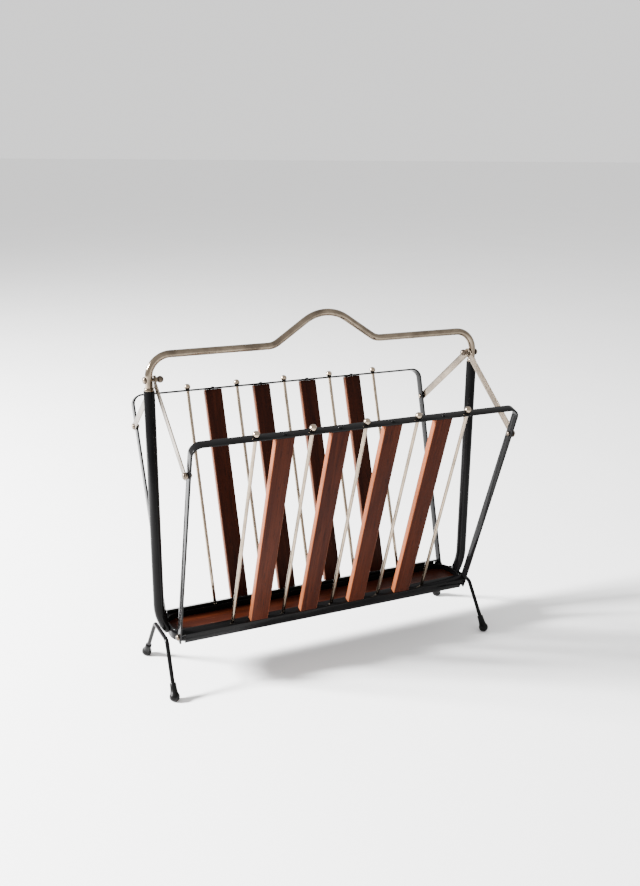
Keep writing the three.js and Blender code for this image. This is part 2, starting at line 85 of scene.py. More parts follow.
def begin(name):
    """Names the primitive that was just added and opens it for editing."""
    piece = bpy.context.object
    piece.name = name
    piece.data.name = name
    bpy.ops.object.mode_set(mode="EDIT")
    bpy.ops.mesh.select_mode(type="VERT")
    return piece


def pick(piece, kind, test):
    """Selects the vertices, edges or faces for which the test holds, by their place."""
    bpy.ops.mesh.select_all(action="DESELECT")
    bpy.ops.mesh.select_mode(type=kind)
    bpy.ops.object.mode_set(mode="OBJECT")
    mesh = piece.data
    if kind == "VERT":
        for vertex in mesh.vertices:
            vertex.select = bool(test(vertex.co / MM))
    if kind == "EDGE":
        for edge in mesh.edges:
            ends = [mesh.vertices[i].co / MM for i in edge.vertices]
            edge.select = bool(test(*ends))
    if kind == "FACE":
        for face in mesh.polygons:
            face.select = bool(test(face.center / MM, face.normal))
    bpy.ops.object.mode_set(mode="EDIT")


def close_up():
    """Merges doubles, turns the faces outwards and leaves edit mode."""
    bpy.ops.mesh.select_all(action="SELECT")
    bpy.ops.mesh.remove_doubles(threshold=0.02 * MM)
    bpy.ops.mesh.normals_make_consistent(inside=False)
    bpy.ops.object.mode_set(mode="OBJECT")


def modify(piece, kind, **settings):
    """Adds a modifier and applies it at once."""
    modifier = piece.modifiers.new(kind.lower(), kind)
    for key, value in settings.items():
        setattr(modifier, key, value)
    clear_selection()
    piece.select_set(True)
    bpy.context.view_layer.objects.active = piece
    bpy.ops.object.modifier_apply(modifier=modifier.name)


def smooth(piece, angle=40):
    clear_selection()
    piece.select_set(True)
    bpy.context.view_layer.objects.active = piece
    bpy.ops.object.shade_smooth_by_angle(angle=math.radians(angle))


def place(piece, location=(0, 0, 0), rotation=(0, 0, 0)):
    """Moves a finished piece to its place and writes the place into its mesh."""
    clear_selection()
    piece.select_set(True)
    bpy.context.view_layer.objects.active = piece
    piece.rotation_euler = [math.radians(a) for a in rotation]
    piece.location = millimetres(*location)
    bpy.ops.object.transform_apply(location=True, rotation=True, scale=True)
    return piece


def copy_of(piece, name, location=(0, 0, 0), rotation=(0, 0, 0)):
    """A copy with its own mesh, put in its own place."""
    twin = piece.copy()
    twin.data = piece.data.copy()
    twin.name = twin.data.name = name
    bpy.context.collection.objects.link(twin)
    return place(twin, location, rotation)


def opposite(piece, name):
    """A copy turned half round the upright axis, which lands on the other side."""
    return copy_of(piece, name, rotation=(0, 0, 180))


def ease_edges(piece, width, segments=2):
    """A small bevel on every edge sharper than 60 degrees, in millimetres."""
    modify(
        piece,
        "BEVEL",
        width=width * MM,
        segments=segments,
        limit_method="ANGLE",
        angle_limit=math.radians(60),
    )


def on_wing(piece, wing):
    """Tilts a piece that was drawn upright on the pin's line into its wing."""
    outward = WINGS[wing]
    return place(piece, (0, outward * HINGE_Y, HINGE_Z), (-outward * WING_TILT, 0, 0))


print("helpers ready")

# %% [markdown]
# ## Bent tube and wire
# The posts, the handle and the feet are round stock bent round a former. The same is done
# here: a circle is drawn across the start of the tube, extruded along each straight run,
# and spun round the middle of each bend. The ring that was last drawn stays selected, so
# each step carries on from the one before.

# %% A tube that is extruded along its runs and spun round its bends
STEP_ANGLE = 4.5


def bent_tube(name, radius, corners, sides=32):
    """Corners are (point, bend radius). The ends have a radius of zero."""
    points = [Vector(point) for point, _ in corners]
    first = (points[1] - points[0]).normalized()
    clear_selection()
    bpy.ops.mesh.primitive_circle_add(
        vertices=sides,
        radius=radius * MM,
        fill_type="NGON",
        location=points[0] * MM,
        rotation=first.to_track_quat("Z", "Y").to_euler(),
    )
    bpy.ops.object.transform_apply(location=True, rotation=True, scale=True)
    piece = begin(name)
    bpy.ops.mesh.select_all(action="SELECT")
    here = points[0]
    for i in range(1, len(points)):
        arrive = (points[i] - points[i - 1]).normalized()
        if i == len(points) - 1:
            run_end = points[i]
        else:
            leave = (points[i + 1] - points[i]).normalized()
            turn = arrive.angle(leave)
            run_end = points[i] - arrive * corners[i][1] * math.tan(turn / 2)
        bpy.ops.mesh.extrude_region_move(
            TRANSFORM_OT_translate={"value": (run_end - here) * MM}
        )
        here = run_end
        if i < len(points) - 1:
            inward = (leave - arrive * math.cos(turn)).normalized()
            centre = here + inward * corners[i][1]
            bpy.ops.mesh.spin(
                steps=math.ceil(math.degrees(turn) / STEP_ANGLE),
                angle=turn,
                center=centre * MM,
                axis=inward.cross(arrive).normalized(),
            )
            here = points[i] + leave * corners[i][1] * math.tan(turn / 2)
    close_up()
    return piece

# %% [markdown]
# ## Turned pieces
# Rods with ball ends, nuts, rivets and rubber feet are all made on a lathe. Half of the
# outline is drawn as a chain of points beside the axis and spun once round it. The chain
# starts from one point, which is a plane merged to its centre, and grows by extruding.

# %% A turned piece from its outline
def turned(name, outline, steps=32):
    """The outline holds (radius, height) pairs. The axis is +Z."""
    clear_selection()
    bpy.ops.mesh.primitive_plane_add(size=MM, location=(0, 0, 0))
    piece = begin(name)
    bpy.ops.mesh.select_all(action="SELECT")
    bpy.ops.mesh.merge(type="CENTER")
    start = Vector((outline[0][0], 0, outline[0][1]))
    bpy.ops.transform.translate(value=start * MM)
    for radius, height in outline[1:]:
        end = Vector((radius, 0, height))
        bpy.ops.mesh.extrude_region_move(TRANSFORM_OT_translate={"value": (end - start) * MM})
        start = end
    bpy.ops.mesh.select_all(action="SELECT")
    bpy.ops.mesh.spin(steps=steps, angle=2 * math.pi, center=(0, 0, 0), axis=(0, 0, 1))
    close_up()
    return piece


def arc(radius, height, start, end, steps):
    """Outline points on a ball whose middle is at the given height, by latitude."""
    angles = [math.radians(start + (end - start) * i / steps) for i in range(steps + 1)]
    return [(radius * math.cos(a), height + radius * math.sin(a)) for a in angles]


def dome(radius, face, height, steps=6):
    """Outline points of a low round head, from its rim to its tip."""
    rim = height * 0.25
    points = [(radius, face), (radius, face + rim)]
    for i in range(1, steps + 1):
        a = math.radians(90 * i / steps)
        points.append((radius * math.cos(a), face + rim + (height - rim) * math.sin(a)))
    points[-1] = (0, face + height)
    return points


print("tube and lathe ready")

# %% [markdown]
# ## Finishes: shared parts
# Each finish is made from nodes that read the place on the object, so it stays put when the
# piece moves. The helpers only save typing: one adds a node, one a noise, and one a ramp
# that turns a noise into shares between two values.

# %% Node helpers
def new_material(name):
    material = bpy.data.materials.new(name)
    material.use_nodes = True
    nodes = material.node_tree.nodes
    return material, nodes, material.node_tree.links, nodes["Principled BSDF"]


def place_nodes(nodes, links, scale, rotation=(0, 0, 0)):
    """Object coordinates, turned and then stretched. The scale is in cycles per metre."""
    coordinates = nodes.new("ShaderNodeTexCoord")
    turn = nodes.new("ShaderNodeMapping")
    turn.inputs["Rotation"].default_value = [math.radians(a) for a in rotation]
    stretch = nodes.new("ShaderNodeMapping")
    stretch.inputs["Scale"].default_value = scale
    links.new(coordinates.outputs["Object"], turn.inputs["Vector"])
    links.new(turn.outputs["Vector"], stretch.inputs["Vector"])
    return stretch.outputs["Vector"]


def noise(nodes, links, vector, scale, detail=4, roughness=0.55, distortion=0.0):
    node = nodes.new("ShaderNodeTexNoise")
    node.inputs["Scale"].default_value = scale
    node.inputs["Detail"].default_value = detail
    node.inputs["Roughness"].default_value = roughness
    node.inputs["Distortion"].default_value = distortion
    links.new(vector, node.inputs["Vector"])
    return node.outputs["Fac"]


def spread(nodes, links, value, low, high, out_low=0.0, out_high=1.0):
    node = nodes.new("ShaderNodeMapRange")
    node.inputs["From Min"].default_value = low
    node.inputs["From Max"].default_value = high
    node.inputs["To Min"].default_value = out_low
    node.inputs["To Max"].default_value = out_high
    links.new(value, node.inputs["Value"])
    return node.outputs["Result"]


def blend_colours(nodes, links, share, first, second):
    node = nodes.new("ShaderNodeMix")
    node.data_type = "RGBA"
    links.new(share, node.inputs["Factor"])
    for socket, colour in ((node.inputs["A"], first), (node.inputs["B"], second)):
        if isinstance(colour, tuple):
            socket.default_value = (*colour, 1)
        else:
            links.new(colour, socket)
    return node.outputs["Result"]


def calculate(nodes, links, operation, first, second):
    node = nodes.new("ShaderNodeMath")
    node.operation = operation
    for socket, value in zip(node.inputs, (first, second)):
        if isinstance(value, (int, float)):
            socket.default_value = value
        else:
            links.new(value, socket)
    return node.outputs["Value"]


def edge_wear(nodes, links, grain):
    """A share that is high along edges and broken up by the given noise.

    The Bevel node gives the normal that a rounder edge would have. It differs from the
    real normal only close to an edge, so the two normals' angle is the mask.
    """
    geometry = nodes.new("ShaderNodeNewGeometry")
    rounder = nodes.new("ShaderNodeBevel")
    rounder.samples = 4
    rounder.inputs["Radius"].default_value = 0.7 * MM
    agree = nodes.new("ShaderNodeVectorMath")
    agree.operation = "DOT_PRODUCT"
    links.new(geometry.outputs["Normal"], agree.inputs[0])
    links.new(rounder.outputs["Normal"], agree.inputs[1])
    edges = spread(nodes, links, agree.outputs["Value"], 0.99, 0.90)
    broken = spread(nodes, links, grain, 0.42, 0.62)
    return calculate(nodes, links, "MULTIPLY", edges, broken)


def bump(nodes, links, shader, height, distance, strength=1.0):
    node = nodes.new("ShaderNodeBump")
    node.inputs["Strength"].default_value = strength
    node.inputs["Distance"].default_value = distance
    links.new(height, node.inputs["Height"])
    links.new(node.outputs["Normal"], shader.inputs["Normal"])


print("node helpers ready")

# %% [markdown]
# ## Black lacquer
# The frames are dipped in a glossy black lacquer that has gone slightly uneven. A broad
# noise shifts the gloss as handling does, a fine one gives the faint ripple of old lacquer,
# and rare specks let a little dull grey through. The edges of the bars are rubbed most, so
# a mask of the edges, broken up by noise, shows the same grey there.

# %% Make the lacquer
def black_lacquer():
    material, nodes, links, shader = new_material("black_lacquer")
    here = place_nodes(nodes, links, (1, 1, 1))
    broad = noise(nodes, links, here, 22, 3)
    ripple = noise(nodes, links, here, 420, 3)
    specks = noise(nodes, links, here, 900, 5, 0.7)
    flecks = spread(nodes, links, specks, 0.66, 0.74)
    rubs = noise(nodes, links, here, 160, 4, 0.6)
    edges = edge_wear(nodes, links, rubs)
    worn = calculate(nodes, links, "MAXIMUM", flecks, edges)
    tone = blend_colours(nodes, links, broad, (0.0015, 0.0015, 0.0017), (0.004, 0.0038, 0.0038))
    colour = blend_colours(nodes, links, worn, tone, (0.012, 0.011, 0.010))
    links.new(colour, shader.inputs["Base Color"])
    gloss = spread(nodes, links, broad, 0.3, 0.7, 0.09, 0.20)
    rubbed = calculate(nodes, links, "MULTIPLY", worn, 0.2)
    links.new(calculate(nodes, links, "ADD", gloss, rubbed), shader.inputs["Roughness"])
    shader.inputs["Specular IOR Level"].default_value = 0.06
    bump(nodes, links, shader, ripple, 0.00006, 0.6)
    return material


LACQUER = black_lacquer()
print("made", LACQUER.name)

# %% [markdown]
# ## Plated metal
# The handle, rods, links and fasteners were nickel plated. With age the plate turns warm,
# like pale brass, and dulls in cloudy patches. Fine marks run along each piece from
# polishing, so the scratch noise is squeezed across the piece and drawn out along it.
# Handling keeps the edges bright, and the edge mask puts that back.
# One function makes all four finishes: they differ in colour, gloss and grain direction.

# %% Make the plated finishes
def plated(name, bright, dull, gloss, grain):
    material, nodes, links, shader = new_material(name)
    here = place_nodes(nodes, links, (1, 1, 1))
    along = place_nodes(nodes, links, grain)
    clouds = noise(nodes, links, here, 38, 5, 0.6, 0.4)
    scratches = noise(nodes, links, along, 1, 4, 0.65)
    pits = noise(nodes, links, here, 1100, 4, 0.7)
    tarnish = spread(nodes, links, clouds, 0.42, 0.66)
    pitted = spread(nodes, links, pits, 0.70, 0.80)
    tone = blend_colours(nodes, links, tarnish, bright, dull)
    dark = tuple(0.5 * channel for channel in dull)
    spotted = blend_colours(nodes, links, pitted, tone, dark)
    polished = tuple(min(1.5 * channel, 0.9) for channel in bright)
    edges = edge_wear(nodes, links, clouds)
    rubbed = blend_colours(nodes, links, edges, spotted, polished)
    links.new(rubbed, shader.inputs["Base Color"])
    shader.inputs["Metallic"].default_value = 1.0
    base = spread(nodes, links, tarnish, 0, 1, gloss, gloss + 0.14)
    lines = spread(nodes, links, scratches, 0.35, 0.75, 0.0, 0.12)
    links.new(calculate(nodes, links, "ADD", base, lines), shader.inputs["Roughness"])
    bump(nodes, links, shader, scratches, 0.00004, 0.5)
    return material


LONG, FINE = 25, 1400
HANDLE_PLATE = plated(
    "plated_handle", (0.19, 0.152, 0.112), (0.09, 0.071, 0.053), 0.09, (LONG, FINE, FINE)
)
ROD_PLATE = plated(
    "plated_rod", (0.31, 0.245, 0.18), (0.20, 0.16, 0.12), 0.12, (FINE, FINE, LONG)
)
LINK_PLATE = plated(
    "plated_link", (0.17, 0.135, 0.10), (0.08, 0.063, 0.047), 0.20, (FINE, LONG * 4, LONG * 4)
)
FASTENER_PLATE = plated(
    "plated_fastener", (0.16, 0.125, 0.095), (0.045, 0.036, 0.029), 0.20, (FINE, 300, 300)
)
print("made", HANDLE_PLATE.name, ROD_PLATE.name, LINK_PLATE.name, FASTENER_PLATE.name)

# %% [markdown]
# ## Reddish brown wood
# The slats and the tray floor are a close-grained tropical hardwood under thin oil. Real
# grain is long and narrow, so the noise is squeezed across the slat and drawn out along it.
# Three layers are mixed: broad colour bands, fine fibres and short dark pores. The pattern
# is turned with each wing, because its slats lean, and no two slats share the same stretch
# of it, because they stand at different places.
# The sides of each slat are painted pale: painted light that stands in for the light falling on
# the slats' sides. The slats repeat every 62 mm, so a ping-pong of the place along X gives the
# distance from the middle of whichever slat is being shaded, and only the outermost millimetre of
# it turns pale.

# %% Make the wood
ALONG_X, ALONG_Z = 0, 2


def painted_lit_sides(nodes, links, grain):
    """A share of painted light that is 1 at the sides of a slat and fades in its last millimetre.
    """
    coordinates = nodes.new("ShaderNodeTexCoord")
    parts = nodes.new("ShaderNodeSeparateXYZ")
    links.new(coordinates.outputs["Object"], parts.inputs["Vector"])
    folded = calculate(nodes, links, "PINGPONG", parts.outputs["X"], PITCH / 2 * MM)
    side = (PITCH - SLAT_WIDTH) / 2 * MM
    edge = spread(nodes, links, folded, side + 1.0 * MM, side + 0.1 * MM)
    uneven = spread(nodes, links, grain, 0.25, 0.6, 0.55, 0.95)
    return calculate(nodes, links, "MULTIPLY", edge, uneven)


def oiled_wood(name, rotation, along_axis, depth):
    """The depth multiplies every colour: a lower one paints the same wood darker."""
    material, nodes, links, shader = new_material(name)
    scales = {"bands": (95, 5), "fibres": (900, 14), "pores": (1500, 55)}
    fields = {}
    for layer, (across, along) in scales.items():
        scale = [across, across, across]
        scale[along_axis] = along
        fields[layer] = place_nodes(nodes, links, scale, rotation)
    bands = noise(nodes, links, fields["bands"], 1, 4, 0.55, 0.8)
    fibres = noise(nodes, links, fields["fibres"], 1, 5, 0.65, 0.2)
    pores = noise(nodes, links, fields["pores"], 1, 2, 0.5)
    dark, light, fibre, pore = (
        tuple(depth * channel for channel in colour)
        for colour in (
            (0.020, 0.0031, 0.0009),
            (0.049, 0.0094, 0.0026),
            (0.0095, 0.0016, 0.0006),
            (0.004, 0.0008, 0.0004),
        )
    )
    broad = spread(nodes, links, bands, 0.3, 0.7)
    banded = blend_colours(nodes, links, broad, dark, light)
    fine = spread(nodes, links, fibres, 0.35, 0.68, 0.0, 0.55)
    fibrous = blend_colours(nodes, links, fine, banded, fibre)
    pored = spread(nodes, links, pores, 0.62, 0.72)
    oiled = blend_colours(nodes, links, pored, fibrous, pore)
    # Painted light: the sides of each slat are painted a pale peach, as if lit from the side.
    rubbed = painted_lit_sides(nodes, links, fibres) if along_axis == ALONG_Z else None
    if rubbed:
        pale = tuple(depth * channel for channel in (0.17, 0.050, 0.019))
        oiled = blend_colours(nodes, links, rubbed, oiled, pale)
    links.new(oiled, shader.inputs["Base Color"])
    gloss = spread(nodes, links, fibres, 0.3, 0.7, 0.38, 0.54)
    links.new(gloss, shader.inputs["Roughness"])
    shader.inputs["Specular IOR Level"].default_value = 0.06
    relief = calculate(nodes, links, "SUBTRACT", fibres, pored)
    bump(nodes, links, shader, relief, 0.00012, 0.5)
    return material


# Painted shade: the back wing's slats are the same wood as the front's, painted darker at 0.6 for
# the shade they stand in. The floor board's wood is also darker, at 0.6.
PAINTED_SHADE_DEPTHS = {"front": 1.0, "back": 0.6}
WOOD = {
    wing: oiled_wood(f"{wing}_slat_wood", (outward * WING_TILT, 0, 0), ALONG_Z, PAINTED_SHADE_DEPTHS[wing])
    for wing, outward in WINGS.items()
}
FLOOR_WOOD = oiled_wood("floor_wood", (0, 0, 0), ALONG_X, 0.6)
print("made", [m.name for m in WOOD.values()], FLOOR_WOOD.name)

# %% [markdown]
# ## Black rubber
# The feet end in soft rubber tips. Rubber scatters light, so it is rough, with a fine
# pebbled skin and a greyish bloom where it has dried.

# %% Make the rubber
def foot_rubber():
    material, nodes, links, shader = new_material("foot_rubber")
    here = place_nodes(nodes, links, (1, 1, 1))
    bloom = noise(nodes, links, here, 120, 4, 0.6)
    skin = noise(nodes, links, here, 1600, 3)
    colour = blend_colours(nodes, links, bloom, (0.0015, 0.0015, 0.0015), (0.004, 0.0039, 0.0038))
    links.new(colour, shader.inputs["Base Color"])
    links.new(spread(nodes, links, bloom, 0.3, 0.7, 0.26, 0.4), shader.inputs["Roughness"])
    shader.inputs["Specular IOR Level"].default_value = 0.08
    bump(nodes, links, shader, skin, 0.0001, 0.5)
    return material


RUBBER = foot_rubber()
print("made", RUBBER.name)

# %% [markdown]
# ## Giving a piece to the rack
# Every finished piece gets a finish and the body it moves with, and the CAD nodes it stands
# for are hidden.

# %% Hand a piece over
made = []


def hand_over(piece, material, body, *nodes):
    piece.data.materials.clear()
    piece.data.materials.append(material)
    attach(piece, body)
    if nodes:
        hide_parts(*nodes)
    made.append(piece)


def report(title, first):
    """Prints what was made since the list was the given length."""
    faces = sum(len(p.data.polygons) for p in made[first:])
    print(title + ":", len(made) - first, "pieces,", faces, "faces")

# %% [markdown]
# ## Posts and collars
# Each post is a 12 mm tube. It stands straight, then bends in at the foot and dies into the
# end of the tray. Its top is open, and a plated bush closes it round the handle. A boolean
# could bore it, but an inset and a push down of the top face does the same in two moves.

# %% Make the posts
POST_X, POST_RADIUS, POST_TOP = 200.0, 6.0, 336.4
POST_BEND_RADIUS, POST_BEND_ANGLE, POST_BEND_START = 54.0, 36.0, 90.5
POST_BORE_DEPTH, POST_WALL, TRAY_HALF_LENGTH = 98, 1.3, 190.0
first = len(made)
bend_run = POST_BEND_RADIUS * math.tan(math.radians(POST_BEND_ANGLE / 2))
corner_z = POST_BEND_START - bend_run
lean = math.radians(POST_BEND_ANGLE)
post_foot = (POST_X - bend_run * math.sin(lean), 0, corner_z - bend_run * math.cos(lean))
post = bent_tube(
    "right_post_tube",
    POST_RADIUS,
    [((POST_X, 0, POST_TOP), 0), ((POST_X, 0, corner_z), POST_BEND_RADIUS), (post_foot, 0)],
    40,
)
bpy.ops.object.mode_set(mode="EDIT")
bpy.ops.mesh.select_all(action="SELECT")
bpy.ops.mesh.bisect(
    plane_co=millimetres(TRAY_HALF_LENGTH + GAP, 0, 0),
    plane_no=(1, 0, 0),
    use_fill=True,
    clear_inner=True,
    threshold=EXACT,
)
pick(post, "FACE", lambda c, n: c.z > POST_TOP - 0.1 and n.z > 0.9)
bpy.ops.mesh.inset(thickness=POST_WALL * MM)
push = millimetres(0, 0, -POST_BORE_DEPTH)
bpy.ops.mesh.extrude_region_move(TRANSFORM_OT_translate={"value": push})
close_up()
ease_edges(post, 0.3)
smooth(post)
hand_over(opposite(post, "left_post_tube"), LACQUER, "root", "left_post")
hand_over(post, LACQUER, "root", "right_post")

bush = turned(
    "right_collar_bush",
    [(4.45, 0), (4.9, 0), (5.2, 0.3), (5.2, 2.2), (4.95, 2.75), (4.6, 3), (4.45, 2.9), (4.45, 0)],
    40,
)
smooth(bush)
place(bush, (POST_X, 0, POST_TOP + GAP))
hand_over(opposite(bush, "left_collar_bush"), HANDLE_PLATE, "root", "left_collar")
hand_over(bush, HANDLE_PLATE, "root", "right_collar")
report("posts and collars", first)

# %% [markdown]
# ## Handle
# One length of 8 mm tube makes the whole handle: up the left leg, over the shoulder, across,
# up and over the raised grip, and down the right leg. The grip sits a little off centre.

# %% Make the handle
TUBE_RADIUS = 4.0
SHOULDER_Z, SHOULDER_RADIUS = 374.2, 24.0
GRIP_X, GRIP_HALF, GRIP_CORNER_Z = 4.0, 63.0, 416.6
GRIP_FOOT_RADIUS, GRIP_TOP_RADIUS = 22.0, 45.0
TUBE_BOTTOM = 246.0
first = len(made)
handle = bent_tube(
    "handle_tube",
    TUBE_RADIUS,
    [
        ((-POST_X, 0, TUBE_BOTTOM), 0),
        ((-POST_X, 0, SHOULDER_Z), SHOULDER_RADIUS),
        ((GRIP_X - GRIP_HALF, 0, SHOULDER_Z), GRIP_FOOT_RADIUS),
        ((GRIP_X, 0, GRIP_CORNER_Z), GRIP_TOP_RADIUS),
        ((GRIP_X + GRIP_HALF, 0, SHOULDER_Z), GRIP_FOOT_RADIUS),
        ((POST_X, 0, SHOULDER_Z), SHOULDER_RADIUS),
        ((POST_X, 0, TUBE_BOTTOM), 0),
    ],
    36,
)
smooth(handle)
hand_over(handle, HANDLE_PLATE, "handle", "handle")
report("handle", first)

# %% [markdown]
# ## Tray
# The tray is a strip of steel bent into a long ring with round ends, standing on edge. It
# starts as a plane whose corners are rounded by a vertex bevel. Its face is deleted, the
# rim that stays is extruded upwards, and Solidify gives the strip its thickness.
# The floor is one board with the same outline, a little smaller, with its edges eased.

# %% Make the tray band and floor
TRAY_HALF_WIDTH, TRAY_CORNER, TRAY_WALL, TRAY_BOTTOM, TRAY_TOP = 26.0, 20.0, 2.0, 51.5, 64.5
FLOOR_BOTTOM, FLOOR_TOP, FLOOR_INSET = 53.6, 58.2, 2.4
def rounded_plate(name, inset, z):
    """A flat plate with the tray's outline, left in edit mode with all selected."""
    clear_selection()
    bpy.ops.mesh.primitive_plane_add(size=2 * MM, location=(0, 0, 0))
    piece = begin(name)
    bpy.ops.mesh.select_all(action="SELECT")
    bpy.ops.transform.resize(value=(TRAY_HALF_LENGTH - inset, TRAY_HALF_WIDTH - inset, 1))
    bpy.ops.transform.translate(value=millimetres(0, 0, z))
    bpy.ops.mesh.bevel(affect="VERTICES", offset=(TRAY_CORNER - inset) * MM, segments=14)
    bpy.ops.mesh.select_all(action="SELECT")
    return piece


first = len(made)
band = rounded_plate("tray_band_strip", 0, TRAY_BOTTOM)
bpy.ops.mesh.delete(type="ONLY_FACE")
bpy.ops.mesh.select_all(action="SELECT")
bpy.ops.mesh.extrude_region_move(
    TRANSFORM_OT_translate={"value": millimetres(0, 0, TRAY_TOP - TRAY_BOTTOM)}
)
close_up()
modify(band, "SOLIDIFY", thickness=TRAY_WALL * MM, offset=-1)
ease_edges(band, 0.45, 3)
smooth(band)
hand_over(band, LACQUER, "root", "tray_band")

floor_board = rounded_plate("tray_floor_board", FLOOR_INSET, FLOOR_BOTTOM)
bpy.ops.mesh.extrude_region_move(
    TRANSFORM_OT_translate={"value": millimetres(0, 0, FLOOR_TOP - FLOOR_BOTTOM)}
)
close_up()
ease_edges(floor_board, 0.8, 3)
smooth(floor_board)
hand_over(floor_board, FLOOR_WOOD, "root", "tray_floor")
report("tray", first)

# %% [markdown]
# ## Feet
# Each end stands on one wire, bent at two knees. A rubber tip is pushed over each end: a
# soft ball with a short tapered neck. The tip is turned upright, leaned to follow the wire,
# and cut flat where it stands, which bisect does.

# %% Make the feet
WIRE_RADIUS, WIRE_X, KNEE_Y, KNEE_Z, KNEE_RADIUS = 2.4, 199.0, 23.0, 57.0, 9.0
FOOT_X, FOOT_Y, FOOT_BALL_Z, FOOT_BALL_RADIUS = 202.0, 56.8, 5.2, 5.8
# Outlines of the tip as (radius, height above the middle of its ball)
TIP_NECK = [(4.25, 5.2), (3.95, 7.2), (3.75, 10.5), (3.6, 14.4), (3.3, 15.0), (2.75, 15.0)]
TIP_SOCKET = [(2.7, -1), (0, -1)]
first = len(made)
knee = Vector((WIRE_X, KNEE_Y, KNEE_Z))
foot = Vector((FOOT_X, FOOT_Y, FOOT_BALL_Z))
leg = (knee - foot).normalized()
toe = foot + leg * GAP
wire = bent_tube(
    "right_foot_wire_bent",
    WIRE_RADIUS,
    [
        ((toe.x, -toe.y, toe.z), 0),
        ((knee.x, -knee.y, knee.z), KNEE_RADIUS),
        ((knee.x, knee.y, knee.z), KNEE_RADIUS),
        ((toe.x, toe.y, toe.z), 0),
    ],
    28,
)
smooth(wire)
hand_over(opposite(wire, "left_foot_wire_bent"), LACQUER, "root", "left_foot_wire")
hand_over(wire, LACQUER, "root", "right_foot_wire")

tip_pattern = turned(
    "tip_pattern",
    arc(FOOT_BALL_RADIUS, 0, -90, 38, 14) + TIP_NECK + TIP_SOCKET,
    36,
)
for side, sign in SIDES.items():
    for wing, outward in WINGS.items():
        up = Vector((sign * leg.x, outward * leg.y, leg.z)).to_track_quat("Z", "Y")
        tip = copy_of(
            tip_pattern,
            f"{side}_{wing}_rubber_tip",
            (sign * FOOT_X, outward * FOOT_Y, FOOT_BALL_Z),
            [math.degrees(a) for a in up.to_euler()],
        )
        bpy.ops.object.mode_set(mode="EDIT")
        bpy.ops.mesh.select_all(action="SELECT")
        bpy.ops.mesh.bisect(
            plane_co=(0, 0, 0),
            plane_no=(0, 0, 1),
            use_fill=True,
            clear_inner=True,
            threshold=EXACT,
        )
        close_up()
        smooth(tip, 50)
        hand_over(tip, RUBBER, "root", f"{side}_{wing}_foot_cap")
bpy.data.objects.remove(tip_pattern)
report("feet", first)

# %% [markdown]
# ## Wing frames
# A wing's frame is flat bar, 10 by 2 mm, bent into an upside-down U. It is swept like the
# tubes, but its section is a rectangle: a plane is drawn across the first leg, extruded up
# it, spun over each corner and extruded again. The edges of drawn bar are never sharp, so
# a small bevel follows every long edge. The legs are drilled for the hinge pins last, so
# that the pins turn in real holes.

# %% Drill holes along X
DRILL_REACH = 8


def bore(piece, radius, *spots):
    """Cuts a round hole through the piece at each spot, with a turned drill."""
    for spot in spots:
        shape = [(0, -DRILL_REACH), (radius, -DRILL_REACH), (radius, DRILL_REACH), (0, DRILL_REACH)]
        drill = place(turned("drill", shape, 24), spot, (0, 90, 0))
        modify(piece, "BOOLEAN", operation="DIFFERENCE", object=drill, solver="EXACT")
        bpy.data.objects.remove(drill)


print("drill ready")

# %% Make the wing frames
PIN_HOLE_RADIUS = 1.9
BAR_DEPTH, BAR_THICKNESS, BAR_BOTTOM_T, BAR_TOP_T = 10.0, 2.0, -6.0, 259.9
BAR_HALF_LOW, BAR_HALF_TOP, BAR_CORNER = 186.7, 192.2, 11.0


def bar_outer_x(t):
    return BAR_HALF_LOW + (BAR_HALF_TOP - BAR_HALF_LOW) * t / BAR_TOP_T


def bar_frame(name):
    half = BAR_THICKNESS / 2
    low_x = bar_outer_x(BAR_BOTTOM_T) - half
    corners = [
        (Vector((-low_x, 0, BAR_BOTTOM_T)), 0),
        (Vector((half - BAR_HALF_TOP, 0, BAR_TOP_T - half)), BAR_CORNER),
        (Vector((BAR_HALF_TOP - half, 0, BAR_TOP_T - half)), BAR_CORNER),
        (Vector((low_x, 0, BAR_BOTTOM_T)), 0),
    ]
    clear_selection()
    bpy.ops.mesh.primitive_plane_add(size=1 * MM, location=corners[0][0] * MM)
    bpy.ops.object.transform_apply(location=True, rotation=True, scale=True)
    piece = begin(name)
    bpy.ops.mesh.select_all(action="SELECT")
    bpy.ops.transform.resize(
        value=(BAR_THICKNESS, BAR_DEPTH, 1), center_override=corners[0][0] * MM
    )
    here = corners[0][0]
    for i in range(1, 4):
        point, radius = corners[i]
        arrive = (point - corners[i - 1][0]).normalized()
        run_end = point
        if i < 3:
            leave = (corners[i + 1][0] - point).normalized()
            turn = arrive.angle(leave)
            run_end = point - arrive * radius * math.tan(turn / 2)
        bpy.ops.mesh.extrude_region_move(
            TRANSFORM_OT_translate={"value": (run_end - here) * MM}
        )
        here = run_end
        if i < 3:
            inward = (leave - arrive * math.cos(turn)).normalized()
            bpy.ops.mesh.spin(
                steps=16,
                angle=turn,
                center=(here + inward * radius) * MM,
                axis=inward.cross(arrive).normalized(),
            )
            here = point + leave * radius * math.tan(turn / 2)
    close_up()
    ease_edges(piece, 0.28, 3)
    for sign in SIDES.values():
        bore(piece, PIN_HOLE_RADIUS, (sign * (BAR_HALF_LOW - half), 0, 0))
    smooth(piece)
    return piece


first = len(made)
frame_pattern = bar_frame("front_wing_bar")
for wing in ("back", "front"):
    bar = copy_of(frame_pattern, f"{wing}_wing_bar") if wing == "back" else frame_pattern
    on_wing(bar, wing)
    hand_over(bar, LACQUER, f"{wing}_wing", f"{wing}_wing_frame")
report("wing frames", first)

# %% [markdown]
# ## Bottom rails
# The rail is an angle: a flat top that carries the slats and a front that hides their
# ends. A plane makes the top. Bisect marks where the front stops short of the ends, to
# clear the hinge lugs, and the middle of the outer edge is extruded down. Solidify then
# gives the sheet its 2 mm.

